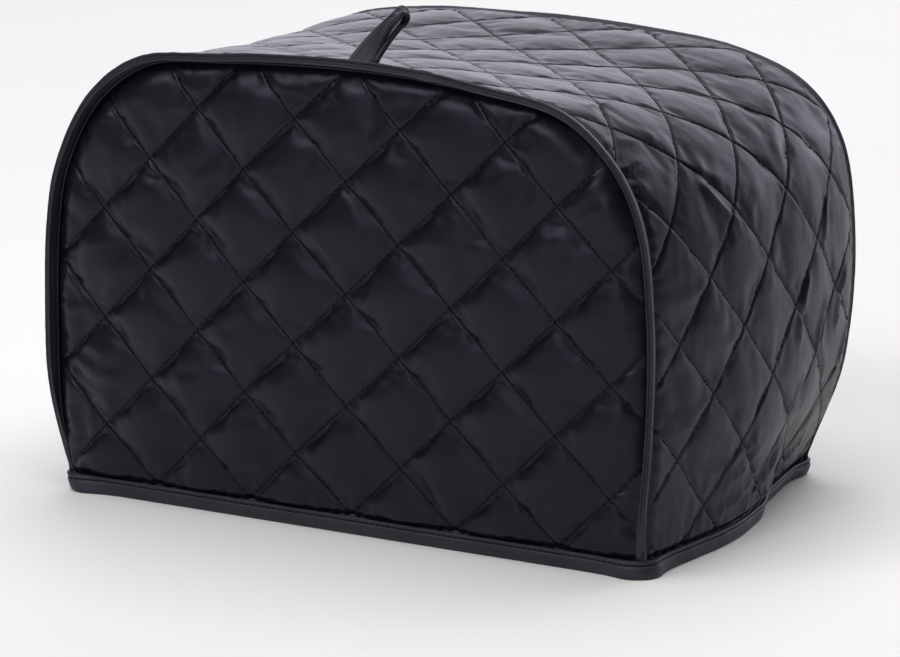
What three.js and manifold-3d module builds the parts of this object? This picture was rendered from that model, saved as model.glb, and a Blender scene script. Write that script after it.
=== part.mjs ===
// A quilted cover that stands over a two-slot toaster: a front and a back panel, one long
// gusset strip between them, bound seams, a bound hem that it rests on and a hanging loop.
// Millimetres, +Z up, the front faces -Y, and the hem stands on z = 0.
import * as THREE from "three";
import { mergeVertices } from "three/addons/utils/BufferGeometryUtils.js";
import Module from "manifold-3d";

const wasm = await Module();
wasm.setup();

// Driving sizes
const DEPTH = 182; // between the outer faces of the two end panels
const SHEET = 1.8; // the quilted cloth where its stitching presses it flat
const PUFF = 3; // rise of a filled diamond above its stitching, outside
const INNER_PUFF = 0.8; // the same on the inside
const SLACK = 0.3; // the thread lies this much higher halfway between two crossings
const SHOULDER = { inwards: 0.34, rise: 0.74 }; // where a puff's flank ends: share of its half, of its rise
const GAP = 0.3; // parting between neighbouring pieces
const PINCH = 9; // the puffs die away over this distance towards a seam
const HEM_HEIGHT = 9; // the tape folded over the lower edge
const CLOTH_FOOT = HEM_HEIGHT + GAP; // where the cloth starts above the hem tape
const SETTLE = 25; // above its foot the cloth turns from upright to its own slope
const SEAM_REACH = 3.6; // the bound seam stands this far beyond the cloth's outer face
const SEAM_ROOT = 2.9; // the bound seam goes this far back from the cloth's corner
const CLOTH_EDGE = SEAM_ROOT + GAP; // where a panel or the gusset ends, from the same corner
const PANEL_CROWN = 4; // the two end panels stand out this far in the middle
const CROWN_RUN = 70; // and reach that rise this far in from their seams
const SIDE_CROWN = 4; // the gusset's sides stand out this far between the seams
const TOP_SAG = 3; // and its top hangs this far between them
const SEAM_STATIONS = 52; // steps along a bound seam

// Outer edge of the front bound seam, seen from the front
const FRONT_SEAM = [
  { part: "left hem", x: -134, z: 0 },
  { part: "left, above the hem", x: -141, z: 11 },
  { part: "left, low", x: -147.5, z: 34 },
  { part: "left, widest", x: -150, z: 70 },
  { part: "left, high", x: -148.5, z: 116 },
  { part: "left shoulder starts", x: -143, z: 145 },
  { part: "left shoulder", x: -125, z: 177 },
  { part: "left shoulder ends", x: -98, z: 196 },
  { part: "crown, left", x: -58, z: 201 },
  { part: "crown", x: 12, z: 203.5 },
  { part: "crown, right", x: 62, z: 200 },
  { part: "right shoulder starts", x: 104, z: 192.5 },
  { part: "right shoulder", x: 129, z: 173 },
  { part: "right shoulder ends", x: 142, z: 149 },
  { part: "right, high", x: 147.5, z: 106 },
  { part: "right, low", x: 147, z: 60 },
  { part: "right, above the hem", x: 144, z: 18 },
  { part: "right hem", x: 144.5, z: 0 },
];

// Outer edge of the back bound seam, also seen from the front; it stands a little lower
const BACK_SEAM = [
  { part: "left hem", x: -122, z: 0 },
  { part: "left, above the hem", x: -127, z: 12 },
  { part: "left, low", x: -137, z: 36 },
  { part: "left, widest", x: -144, z: 72 },
  { part: "left, high", x: -145.5, z: 114 },
  { part: "left shoulder starts", x: -141.5, z: 146 },
  { part: "left shoulder", x: -130, z: 169 },
  { part: "left shoulder ends", x: -104, z: 185.5 },
  { part: "crown, left", x: -62, z: 193 },
  { part: "crown", x: -10, z: 194.5 },
  { part: "crown, right", x: 48, z: 193 },
  { part: "right shoulder starts", x: 92, z: 188.5 },
  { part: "right shoulder", x: 124, z: 175 },
  { part: "right shoulder ends", x: 140.5, z: 153 },
  { part: "right, high", x: 147.5, z: 112 },
  { part: "right, low", x: 144.5, z: 58 },
  { part: "right, above the hem", x: 133.5, z: 16 },
  { part: "right hem", x: 128, z: 0 },
];

// Section of a bound seam: out from the cloth's outer face, and forward from the panel's face
const SEAM_SECTION = [
  { out: -SEAM_ROOT, forward: 0 },
  { out: -SEAM_ROOT, forward: -SHEET },
  { out: -SHEET, forward: -SEAM_ROOT },
  { out: 0, forward: -SEAM_ROOT },
  { out: 3.2, forward: 0.4 },
  { out: SEAM_REACH, forward: 2.4 },
  { out: 2.4, forward: SEAM_REACH },
  { out: 0.4, forward: 3.2 },
];

// Section of the hem tape: out from the cloth's outer face, and up from the floor
const HEM_SECTION = [
  { out: -2.7, up: 0 },
  { out: 0.6, up: 0 },
  { out: 1.3, up: 1.2 },
  { out: 1.3, up: 7.8 },
  { out: 0.5, up: HEM_HEIGHT },
  { out: -2.3, up: HEM_HEIGHT },
  { out: -2.7, up: 8 },
];
// How the hem tape turns each corner in plan, and stands out there over the end of the seam
const HEM_CORNERS = [
  { seam: "front", side: -1, radius: 4, flare: 3.4 },
  { seam: "front", side: 1, radius: 7, flare: 3 },
  { seam: "back", side: 1, radius: 3, flare: 3.4 },
  { seam: "back", side: -1, radius: 4, flare: 3.4 },
];
const HEM_STEPS = { run: 14, side: 18, turn: 4 };

// Half diagonals of the quilted diamonds, and where one crossing of the stitching lies
const FRONT_QUILT = { half: [24.5, 24], origin: [-117.6, 176.5], across: [-3, 13], up: [-9, 3] };
const BACK_QUILT = { half: [24.5, 24], origin: [-122.5, 168.5], across: [-3, 13], up: [-9, 3] };
const GUSSET_QUILT = { half: [24, 22.8], fromRightFoot: 133.2, behindFront: 20, up: [-3, 9] };
const QUILT_DRIFT = { shift: -2.6, x: -31, spread: 42 }; // some front rows were sewn off line

// Soft folds in the gusset: side, place and spread in depth (share), height and its spread
const FOLDS = [
  { side: 1, depth: 0.42, spread: 0.33, height: 0, reach: 48, out: 11 },
  { side: 1, depth: 0.62, spread: 0.05, height: 0, reach: 34, out: -2 },
  { side: 1, depth: 0.53, spread: 0.05, height: 0, reach: 26, out: 1.5 },
  { side: 1, depth: 0.55, spread: 0.08, height: 120, reach: 45, out: -1.4 },
  { side: 1, depth: 0.84, spread: 0.07, height: 95, reach: 55, out: -1.6 },
  { side: -1, depth: 0.5, spread: 0.3, height: 0, reach: 48, out: 8 },
  { side: -1, depth: 0.4, spread: 0.07, height: 0, reach: 30, out: -2 },
  { side: -1, depth: 0.6, spread: 0.09, height: 0, reach: 34, out: 1.4 },
  { side: -1, depth: 0.45, spread: 0.1, height: 105, reach: 50, out: -1.5 },
];

// The hanging loop of folded tape, from its foot in front to its foot behind. It leans out
// along a line that swings back from the seam, and turn is how far the tape's width has
// swung the other way, from the seam's line towards the viewer.
const LOOP = { width: 11, thick: 1.4, x: 7.8, behind: 4.3, lift: 0.8, swing: 30 };
const LOOP_LINE = [
  { out: 0, up: 0, turn: 0 },
  { out: 1.4, up: 3, turn: 8 },
  { out: 5, up: 7.2, turn: 28 },
  { out: 9.2, up: 11.6, turn: 46 },
  { out: 13.2, up: 16.3, turn: 58 },
  { out: 16.6, up: 19.8, turn: 60 },
  { out: 18.7, up: 21.1, turn: 60 },
  { out: 19.9, up: 20.2, turn: 60 },
  { out: 19.6, up: 17.6, turn: 60 },
  { out: 17.2, up: 13.6, turn: 60 },
  { out: 13.6, up: 9, turn: 55 },
  { out: 10.4, up: 5, turn: 48 },
  { out: 8.2, up: 2.6, turn: 42 },
];

const CLOTH = { color: 0x24232b, roughness: 0.55, metalness: 0 };
const TAPE = { color: 0x1b1a20, roughness: 0.6, metalness: 0 };

function lerp(a, b, share) {
  return a + (b - a) * share;
}

function smooth(from, to, value) {
  return THREE.MathUtils.smoothstep(value, from, to);
}

function bell(distance, spread) {
  return Math.exp(-((distance / spread) ** 2));
}

// A seam gives, for a share of its way from the left foot to the right one, the cloth's
// corner line and its outward normal in the XZ plane. The foot's normal is level.
function makeSeam(rows) {
  const points = rows.map(({ x, z }) => new THREE.Vector3(x, 0, z));
  const curve = new THREE.CatmullRomCurve3(points, false, "centripetal");
  curve.arcLengthDivisions = 800;
  const length = curve.getLength();

  function shareAtHeight(side, z) {
    let low = side < 0 ? 0 : 1;
    let high = side < 0 ? 0.15 : 0.85;
    for (let step = 0; step < 40; step += 1) {
      const middle = (low + high) / 2;
      if (curve.getPointAt(middle).z < z) low = middle;
      else high = middle;
    }
    return (low + high) / 2;
  }

  const start = shareAtHeight(-1, CLOTH_FOOT);
  const end = shareAtHeight(1, CLOTH_FOOT);

  function corner(share) {
    const along = lerp(start, end, THREE.MathUtils.clamp(share, 0, 1));
    const point = curve.getPointAt(along);
    const tangent = curve.getTangentAt(along);
    const run = Math.min(along - start, end - along) * length;
    const own = smooth(0, SETTLE, run);
    const level = share < 0.5 ? -1 : 1;
    const normal = new THREE.Vector2(lerp(level, -tangent.z, own), lerp(0, tangent.x, own)).normalize();
    return { x: point.x - normal.x * SEAM_REACH, z: point.z - normal.y * SEAM_REACH, normal };
  }

  function footAtHeight(side, z) {
    return curve.getPointAt(shareAtHeight(side, z)).x - side * SEAM_REACH;
  }

  let cloth = 0;
  for (let k = 0; k < 200; k += 1) {
    const a = corner(k / 200);
    const b = corner((k + 1) / 200);
    cloth += Math.hypot(b.x - a.x, b.z - a.z);
  }
  return { corner, footAtHeight, cloth };
}

const frontSeam = makeSeam(FRONT_SEAM);
const backSeam = makeSeam(BACK_SEAM);
const STRIP = (frontSeam.cloth + backSeam.cloth) / 2; // length of the gusset

function foldOut(side, depthShare, height) {
  let out = 0;
  for (const fold of FOLDS) {
    if (fold.side === side) {
      out += fold.out * bell(depthShare - fold.depth, fold.spread) * bell(height - fold.height, fold.reach);
    }
  }
  return out;
}

// Where a point of the flat gusset strip comes to lie once the strip is sewn in
function bendGusset(along, depth, lift) {
  const share = THREE.MathUtils.clamp(along / STRIP, 0, 1);
  const depthShare = depth / DEPTH;
  const front = frontSeam.corner(share);
  const back = backSeam.corner(share);
  const normal = front.normal.clone().lerp(back.normal, depthShare).normalize();
  const foot = Math.min(share, 1 - share) * STRIP;
  const side = share < 0.5 ? -1 : 1;
  const sideways = normal.x ** 2;
  const crown = SIDE_CROWN * sideways * smooth(0, 60, foot) - TOP_SAG * (1 - sideways);
  const folds = foldOut(side, depthShare, foot) * Math.abs(normal.x);
  const out = crown * Math.sin(Math.PI * depthShare) + folds + lift;
  return [
    lerp(front.x, back.x, depthShare) + normal.x * out,
    depth - DEPTH / 2,
    lerp(front.z, back.z, depthShare) + normal.y * out,
  ];
}

// The cut edge of an end panel, as flat points from the left foot round to the right one
function panelOutline(seam, mirror) {
  const outline = [];
  for (let k = 0; k <= SEAM_STATIONS; k += 1) {
    const { x, z, normal } = seam.corner(k / SEAM_STATIONS);
    outline.push(new THREE.Vector2(mirror * (x - normal.x * CLOTH_EDGE), z - normal.y * CLOTH_EDGE));
  }
  return mirror < 0 ? outline.reverse() : outline;
}

function distanceToOutline(outline, x, y) {
  let nearest = Infinity;
  for (let k = 0; k < outline.length; k += 1) {
    const a = outline[k];
    const b = outline[(k + 1) % outline.length];
    const lengthSquared = (b.x - a.x) ** 2 + (b.y - a.y) ** 2;
    const reach = ((x - a.x) * (b.x - a.x) + (y - a.y) * (b.y - a.y)) / lengthSquared;
    const share = THREE.MathUtils.clamp(reach, 0, 1);
    nearest = Math.min(nearest, Math.hypot(x - lerp(a.x, b.x, share), y - lerp(a.y, b.y, share)));
  }
  return nearest;
}

// Towards a seam the filling thins out until only the pressed sheet is left
function pinched(height, distance) {
  const share = smooth(0, PINCH, distance);
  return height > SHEET / 2 ? SHEET + (height - SHEET) * share : height * share;
}

// A flat slab of quilting: crossings lie where across and up sum to an even number, and
// each diamond between four of them is raised. Its inner face is raised less.
function quiltedSlab(crossing, [acrossFrom, acrossTo], [upFrom, upTo]) {
  const positions = [];
  const triangles = [];
  const known = new Map();

  function vertex(name, x, y, height) {
    if (!known.has(name)) {
      known.set(name, positions.length / 3);
      positions.push(x, y, height);
    }
    return known.get(name);
  }

  function diamond(i, j) {
    const corners = [[i - 1, j], [i, j - 1], [i + 1, j], [i, j + 1]];
    const rim = [];
    corners.forEach(([a, b], k) => {
      const [c, d] = corners[(k + 1) % 4];
      const [x, y] = crossing(a, b);
      const [nextX, nextY] = crossing(c, d);
      rim.push({ name: `${2 * a},${2 * b}`, x, y, middle: false });
      rim.push({ name: `${a + c},${b + d}`, x: (x + nextX) / 2, y: (y + nextY) / 2, middle: true });
    });
    const centreX = rim.reduce((sum, point) => sum + point.x, 0) / rim.length;
    const centreY = rim.reduce((sum, point) => sum + point.y, 0) / rim.length;
    const top = vertex(`top ${i},${j}`, centreX, centreY, SHEET + PUFF);
    const bottom = vertex(`bottom ${i},${j}`, centreX, centreY, -INNER_PUFF);
    const edge = rim.map(({ name, x, y, middle }) => vertex(`out ${name}`, x, y, SHEET + (middle ? SLACK : 0)));
    const inner = rim.map(({ name, x, y, middle }) => vertex(`in ${name}`, x, y, middle ? -SLACK / 2 : 0));
    const ring = rim.map(({ x, y }, k) =>
      vertex(`ring ${i},${j},${k}`, lerp(x, centreX, SHOULDER.inwards), lerp(y, centreY, SHOULDER.inwards),
        SHEET + SHOULDER.rise * PUFF));
    for (let k = 0; k < rim.length; k += 1) {
      const next = (k + 1) % rim.length;
      triangles.push(edge[k], edge[next], ring[next], edge[k], ring[next], ring[k]);
      triangles.push(ring[k], ring[next], top);
      triangles.push(inner[next], inner[k], bottom);
    }
  }

  for (let i = acrossFrom; i <= acrossTo; i += 1) {
    for (let j = upFrom; j <= upTo; j += 1) {
      if (Math.abs(i + j) % 2 === 1) diamond(i, j);
    }
  }
  closeRim(known, triangles);
  return toSolid(positions, triangles);
}

// Walls between the outer and the inner face along the slab's rim
function closeRim(known, triangles) {
  const names = new Map([...known].map(([name, index]) => [index, name]));
  const edges = new Map();
  for (let k = 0; k < triangles.length; k += 3) {
    for (let e = 0; e < 3; e += 1) {
      const a = triangles[k + e];
      const b = triangles[k + ((e + 1) % 3)];
      if (edges.has(`${b},${a}`)) edges.delete(`${b},${a}`);
      else edges.set(`${a},${b}`, [a, b]);
    }
  }
  for (const [a, b] of edges.values()) {
    if (names.get(a).startsWith("out ")) {
      const underA = known.get(names.get(a).replace("out", "in"));
      const underB = known.get(names.get(b).replace("out", "in"));
      triangles.push(b, a, underA, b, underA, underB);
    }
  }
}

function toSolid(positions, triangles) {
  return new wasm.Manifold(new wasm.Mesh({
    numProp: 3,
    vertProperties: new Float32Array(positions),
    triVerts: new Uint32Array(triangles),
  }));
}

function outlineSolid(outline) {
  const depth = 20;
  const extruded = new THREE.ExtrudeGeometry(new THREE.Shape(outline), { depth, bevelEnabled: false });
  extruded.translate(0, 0, -depth / 2);
  extruded.deleteAttribute("normal");
  extruded.deleteAttribute("uv");
  const merged = mergeVertices(extruded);
  return toSolid(merged.attributes.position.array, merged.index.array);
}

// Cuts a slab to its outline, pinches its rim and moves every point to its sewn place
function cutAndSew(slab, outline, place) {
  const cut = slab.intersect(outlineSolid(outline)).getMesh();
  const positions = [];
  for (let k = 0; k < cut.numVert; k += 1) {
    const [x, y, height] = cut.vertProperties.slice(k * cut.numProp, k * cut.numProp + 3);
    const distance = distanceToOutline(outline, x, y);
    positions.push(...place(x, y, pinched(height, distance), distance));
  }
  return meshGeometry(positions, [...cut.triVerts]);
}

function meshGeometry(positions, triangles) {
  const geometry = new THREE.BufferGeometry();
  geometry.setAttribute("position", new THREE.Float32BufferAttribute(positions, 3));
  geometry.setIndex(triangles);
  geometry.computeVertexNormals();
  return geometry;
}

function panelCrossing({ half, origin }) {
  return (i, j) => {
    const x = origin[0] + i * half[0];
    return [x + QUILT_DRIFT.shift * bell(x - QUILT_DRIFT.x, QUILT_DRIFT.spread), origin[1] + j * half[1]];
  };
}

// An end panel stands upright on its seam, its middle a little out from it
function endPanel(seam, quilt, facing) {
  const slab = quiltedSlab(panelCrossing(quilt), quilt.across, quilt.up);
  const outline = panelOutline(seam, -facing);
  return cutAndSew(slab, outline, (x, z, height, distance) => {
    const crown = PANEL_CROWN * (1 - (1 - Math.min(distance / CROWN_RUN, 1)) ** 2);
    return [-facing * x, facing * (DEPTH / 2 + crown + height - SHEET), z];
  });
}

function gusset() {
  const { half, fromRightFoot, behindFront, up } = GUSSET_QUILT;
  const origin = STRIP - fromRightFoot;
  const crossing = (i, j) => [origin + i * half[0], behindFront + j * half[1]];
  const across = [Math.floor(-origin / half[0]) - 2, Math.ceil(fromRightFoot / half[0]) + 2];
  const slab = quiltedSlab(crossing, across, up);
  const outline = [
    new THREE.Vector2(0, CLOTH_EDGE),
    new THREE.Vector2(STRIP, CLOTH_EDGE),
    new THREE.Vector2(STRIP, DEPTH - CLOTH_EDGE),
    new THREE.Vector2(0, DEPTH - CLOTH_EDGE),
  ];
  return cutAndSew(slab, outline, (along, depth, height) => bendGusset(along, depth, height - SHEET));
}

// Skins a row of like sections; a closed row joins its last section to its first
function skin(sections, closed) {
  const size = sections[0].length;
  const positions = sections.flat(2);
  const triangles = [];
  const lastSection = closed ? sections.length : sections.length - 1;
  for (let k = 0; k < lastSection; k += 1) {
    const here = k * size;
    const there = ((k + 1) % sections.length) * size;
    for (let p = 0; p < size; p += 1) {
      const q = (p + 1) % size;
      triangles.push(here + p, here + q, there + q, here + p, there + q, there + p);
    }
  }
  if (!closed) {
    const last = (sections.length - 1) * size;
    for (let p = 1; p < size - 1; p += 1) {
      triangles.push(0, p + 1, p, last, last + p, last + p + 1);
    }
  }
  return meshGeometry(positions, triangles);
}

function seamBinding(seam, facing) {
  const sections = [];
  for (let k = 0; k <= SEAM_STATIONS; k += 1) {
    const { x, z, normal } = seam.corner(k / SEAM_STATIONS);
    sections.push(SEAM_SECTION.map(({ out, forward }) =>
      [x + normal.x * out, facing * (DEPTH / 2 + forward), z + normal.y * out]));
  }
  return skin(facing < 0 ? sections : sections.reverse(), false);
}

// The hem's line in plan at one height: counter-clockwise from the front left corner, with
// how far the tape stands out at each place for the seam that ends there
function hemLine(z) {
  const half = DEPTH / 2;
  const corners = HEM_CORNERS.map(({ seam, side, radius, flare }) => {
    const ahead = seam === "front" ? -1 : 1;
    const x = (seam === "front" ? frontSeam : backSeam).footAtHeight(side, z);
    return { x: x - side * radius, y: ahead * (half - radius), radius, flare };
  });
  const line = [];
  corners.forEach((corner, k) => {
    const next = corners[(k + 1) % 4];
    const leaving = Math.PI * (k / 2 - 0.5);
    for (let step = 0; step < HEM_STEPS.turn; step += 1) {
      const share = step / HEM_STEPS.turn;
      const angle = leaving + Math.PI / 2 * (share - 1);
      line.push({
        x: corner.x + corner.radius * Math.cos(angle),
        y: corner.y + corner.radius * Math.sin(angle),
        flare: corner.flare * Math.sin(Math.PI * share),
      });
    }
    const steps = k % 2 === 0 ? HEM_STEPS.run : HEM_STEPS.side;
    const side = [0, 1, 0, -1][k];
    for (let step = 0; step < steps; step += 1) {
      const share = step / steps;
      const reach = lerp(corner.radius, next.radius, share);
      const x = lerp(corner.x, next.x, share) + Math.cos(leaving) * reach;
      const y = lerp(corner.y, next.y, share) + Math.sin(leaving) * reach;
      const fold = side === 0 ? 0 : side * foldOut(side, (y + half) / DEPTH, 0);
      line.push({ x: x + fold, y, flare: 0 });
    }
  });
  return line;
}

function hemBinding() {
  const lines = HEM_SECTION.map(({ up }) => hemLine(up));
  const sections = lines[0].map((start, k) => HEM_SECTION.map(({ out, up }, level) => {
    const line = lines[level];
    const before = line[(k + line.length - 1) % line.length];
    const after = line[(k + 1) % line.length];
    const here = line[k];
    const run = Math.hypot(after.x - before.x, after.y - before.y);
    const reach = out + (out > 0 ? here.flare : 0);
    return [
      here.x + reach * (after.y - before.y) / run,
      here.y - reach * (after.x - before.x) / run,
      up,
    ];
  }));
  return skin(sections.reverse(), true);
}

function hangingLoop() {
  const half = { width: LOOP.width / 2, thick: LOOP.thick / 2 };
  const foot = bendGusset(STRIP / 2 + LOOP.x, LOOP.behind, 0);
  const start = new THREE.Vector3(LOOP.x, LOOP.behind - DEPTH / 2, foot[2] + LOOP.lift);
  const swing = THREE.MathUtils.degToRad(LOOP.swing);
  const centres = LOOP_LINE.map(({ out, up }) =>
    start.clone().add(new THREE.Vector3(out * Math.cos(swing), out * Math.sin(swing), up)));
  const sections = centres.map((centre, k) => {
    const before = centres[Math.max(k - 1, 0)];
    const after = centres[Math.min(k + 1, centres.length - 1)];
    const along = after.clone().sub(before);
    if (k === 0 || k === centres.length - 1) along.set(0, 0, along.z); // the feet are cut level
    along.normalize();
    const turn = THREE.MathUtils.degToRad(LOOP_LINE[k].turn);
    const wide = new THREE.Vector3(Math.cos(turn), -Math.sin(turn), 0);
    const thick = along.clone().cross(wide).normalize();
    const flat = thick.clone().cross(along).normalize();
    const corners = [[-1, -1], [1, -1], [1, 1], [-1, 1]];
    return corners.map(([w, t]) => centre.clone()
      .addScaledVector(flat, w * half.width)
      .addScaledVector(thick, t * half.thick)
      .toArray());
  });
  return skin(sections, false);
}

function piece(name, geometry, look) {
  const mesh = new THREE.Mesh(geometry, new THREE.MeshStandardMaterial(look));
  mesh.name = name;
  return mesh;
}

const cover = new THREE.Group();
cover.add(
  piece("front_panel", endPanel(frontSeam, FRONT_QUILT, -1), CLOTH),
  piece("back_panel", endPanel(backSeam, BACK_QUILT, 1), CLOTH),
  piece("gusset", gusset(), CLOTH),
  piece("front_binding", seamBinding(frontSeam, -1), TAPE),
  piece("back_binding", seamBinding(backSeam, 1), TAPE),
  piece("hem_binding", hemBinding(), TAPE),
  piece("hang_loop", hangingLoop(), TAPE),
);

// The origin is under the middle of the whole cover
const bounds = new THREE.Box3().setFromObject(cover);
const middle = bounds.getCenter(new THREE.Vector3());
cover.position.set(-middle.x, -middle.y, -bounds.min.z);

export default cover;
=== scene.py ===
"""A quilted cloth cover for a two-slot toaster: near-black satin cloth in sewn diamonds, bound
seams, a bound hem that it stands on and a small hanging loop. Sizes here are in millimetres;
the meshes are in metres. The front faces -Y and the hem stands on z = 0."""
import math

import bmesh
import bpy
import numpy as np
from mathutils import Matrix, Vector, geometry


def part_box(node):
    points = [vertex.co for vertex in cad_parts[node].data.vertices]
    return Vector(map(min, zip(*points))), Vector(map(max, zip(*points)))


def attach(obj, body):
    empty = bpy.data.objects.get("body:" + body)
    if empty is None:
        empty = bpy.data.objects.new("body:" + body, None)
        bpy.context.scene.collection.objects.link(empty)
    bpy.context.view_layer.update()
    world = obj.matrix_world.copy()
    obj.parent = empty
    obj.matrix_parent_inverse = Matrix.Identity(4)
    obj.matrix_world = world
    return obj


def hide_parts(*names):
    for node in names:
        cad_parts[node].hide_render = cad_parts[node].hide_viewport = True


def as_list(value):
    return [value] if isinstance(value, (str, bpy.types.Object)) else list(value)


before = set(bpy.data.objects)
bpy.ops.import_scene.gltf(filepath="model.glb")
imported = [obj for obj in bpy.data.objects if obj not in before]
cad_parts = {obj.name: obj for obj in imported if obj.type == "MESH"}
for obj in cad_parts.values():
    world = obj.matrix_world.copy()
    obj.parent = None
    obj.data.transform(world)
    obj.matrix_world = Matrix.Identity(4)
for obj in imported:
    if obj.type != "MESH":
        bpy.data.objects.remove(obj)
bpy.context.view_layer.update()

MM = 0.001

# The view of the photograph, fitted to points picked in it: a long lens, from the front and the
# right, a little above
CAMERA = {
    "azimuth": 29.9, "elevation": 13.7, "distance": 2234.5, "lens": 197.5, "target": (-43.8, 74.8, 48.4),
}

# Cloth
DEPTH = 182  # between the outer faces of the two end panels
SHEET = 1.8  # the quilted cloth where its stitching presses it flat
INNER_PUFF = 0.8  # rise of a filled diamond above its stitching, inside
PINCH = 6  # the puffs die away over this distance towards a seam
SEAM_DIP = 3.6  # an end panel lies this far back where it goes into its seam
SEAM_DIP_RUN = 11  # and rises from there over this distance
PANEL_CROWN = 4  # the two end panels stand out this far in the middle
CROWN_RUN = 70  # and reach that rise this far in from their seams
SIDE_CROWN = 10.5  # the gusset's sides stand out this far between the seams
TOP_SAG = 3  # and its top hangs this far between them
BACK_SWELL = 2.1  # the rise of the top beside the back seam
FRONT_SWELL = 0.8  # and of the whole gusset beside the front one
VALLEY = 1.3  # the gusset lies this far in where it goes into the front seam
CLOTH_FOOT = 9.3  # height where the cloth comes out of the hem tape
SETTLE = 25  # above its foot the cloth turns from upright to its own slope
TUCK = 1.6  # the cloth's cut edge lies this far behind the corner, inside the seam's tape
HEM_TUCK = 4  # and this far below its foot, inside the hem tape
HEM_DIP = 1.2  # the cloth lies this far in where it goes into the hem tape

# Bound seams and hem
SEAM_REACH = 3.6  # the bound seam stands this far beyond the cloth's outer face
SEAM_OUTLINE_STEPS = 52  # points of an end panel's cut edge along its seam

# Outer edge of the front bound seam, seen from the front: across, up. The points of both seams were
# picked in the photograph, worked out with the fitted camera, rounded and adjusted. Those
# that are hidden there are guesses.
FRONT_SEAM = (
    (-138, 0), (-143.5, 11), (-148.7, 34), (-150, 70), (-148.5, 116), (-143, 145), (-125, 177), (-98, 196),
    (-58, 201), (12, 203.5), (62, 200), (104, 192.5), (129, 173), (142, 149), (147.5, 106), (147, 60),
    (144, 18), (144.5, 0),
)
# Outer edge of the back bound seam, also seen from the front
BACK_SEAM = (
    (-122, 0), (-127, 12), (-138, 36), (-146, 72), (-148, 114), (-143.5, 146), (-130, 169), (-104, 185.5),
    (-62, 193), (-10, 194.5), (48, 193), (92, 188.5), (125, 175.5), (143, 153.5), (150.3, 112), (147, 58),
    (134.5, 16), (128, 0),
)

# Soft folds in the gusset: the side, the share of the depth and the height of each one's middle, its
# width as a share of the depth, its height and how far it stands out
FOLDS = (
    {"side": 1, "depth": 0.43, "spread": 0.31, "height": 0, "reach": 48, "out": 13.2},
    {"side": 1, "depth": 0.7, "spread": 0.06, "height": 0, "reach": 34, "out": -1.1},
    {"side": 1, "depth": 0.58, "spread": 0.05, "height": 0, "reach": 26, "out": 1},
    {"side": 1, "depth": 0.55, "spread": 0.08, "height": 120, "reach": 45, "out": -1.4},
    {"side": 1, "depth": 0.84, "spread": 0.07, "height": 95, "reach": 55, "out": -1.6},
    {"side": -1, "depth": 0.5, "spread": 0.3, "height": 0, "reach": 48, "out": 8},
    {"side": -1, "depth": 0.4, "spread": 0.07, "height": 0, "reach": 30, "out": -2},
    {"side": -1, "depth": 0.6, "spread": 0.09, "height": 0, "reach": 34, "out": 1.4},
    {"side": -1, "depth": 0.45, "spread": 0.1, "height": 105, "reach": 50, "out": -1.5},
)

# Creases on the flat cloth: from, to, half width and height; below 0 is a trough. Their ends were
# picked in the photograph and worked out with the fitted camera, and their widths and
# heights are judged. Front panel: across and up.
FRONT_CREASES = (
    ((-94, 148.6), (-80.5, 148), 1.3, 0.7), ((-93, 145.3), (-83.5, 145), 1.2, -0.6),
    ((-106, 116), (-90, 114), 3.2, -0.9), ((-107, 123), (-94, 122), 2.4, 0.6),
    ((-128, 111.5), (-116, 115), 1.6, 0.9), ((-137, 99.5), (-129, 88), 1.8, 1.1),
    ((-126.5, 70.5), (-116.5, 64.5), 1.3, 1.1), ((-136, 60), (-109, 54), 1.8, 0.9),
    ((-137, 53), (-112, 44.5), 1.8, 0.8), ((-132, 64), (-107, 58.5), 1.4, -0.7),
    ((-134.5, 57), (-111, 49), 1.4, -0.7), ((-79, 57), (-66.5, 58), 2.1, 1.5),
    ((-76.5, 61.5), (-66, 62.5), 1.5, -0.7), ((-56, 82), (-45, 86), 2.6, -0.8),
    ((44.5, 130.7), (55.5, 131.8), 1.2, 0.9), ((45.5, 127.7), (57, 128.2), 1.2, -0.7),
    ((97, 137), (108, 141), 1.4, 1.2), ((108.8, 135), (106, 123), 1.0, -0.9),
    ((90.5, 133), (87.5, 124), 2.6, -0.7), ((109.5, 152.5), (122.5, 165), 1.2, 0.9),
    ((112.5, 147), (131, 162), 1.3, 0.9), ((111, 149.7), (125.5, 163.5), 1.1, -0.7),
    ((85.5, 181.5), (91, 184.5), 1.3, 0.9), ((92, 90), (102.5, 94.5), 1.2, 0.8),
    ((95, 69.5), (104.5, 68), 1.1, -0.8), ((-120, 167.5), (-110.5, 169), 1.9, 1.3),
    ((-130.5, 153), (-126, 154), 1.3, 1.1), ((-81.5, 19), (-74, 16), 1.1, 0.9),
    ((-35, 16.5), (-27.5, 15), 1.1, 1.0), ((134, 118), (140, 117.5), 1.2, 0.9),
    ((129, 18), (136, 16.5), 2.0, 1.0), ((111.5, 88.5), (123, 87.5), 2.6, 0.6),
    ((-53.5, 183), (-51, 171), 2.4, -0.5), ((-4.5, 186), (-1.5, 177.5), 2.2, -0.6),
    ((128, 110), (133, 103), 1.3, 0.7), ((-31, 12), (-26, 19), 0.9, -0.6),
)
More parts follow.
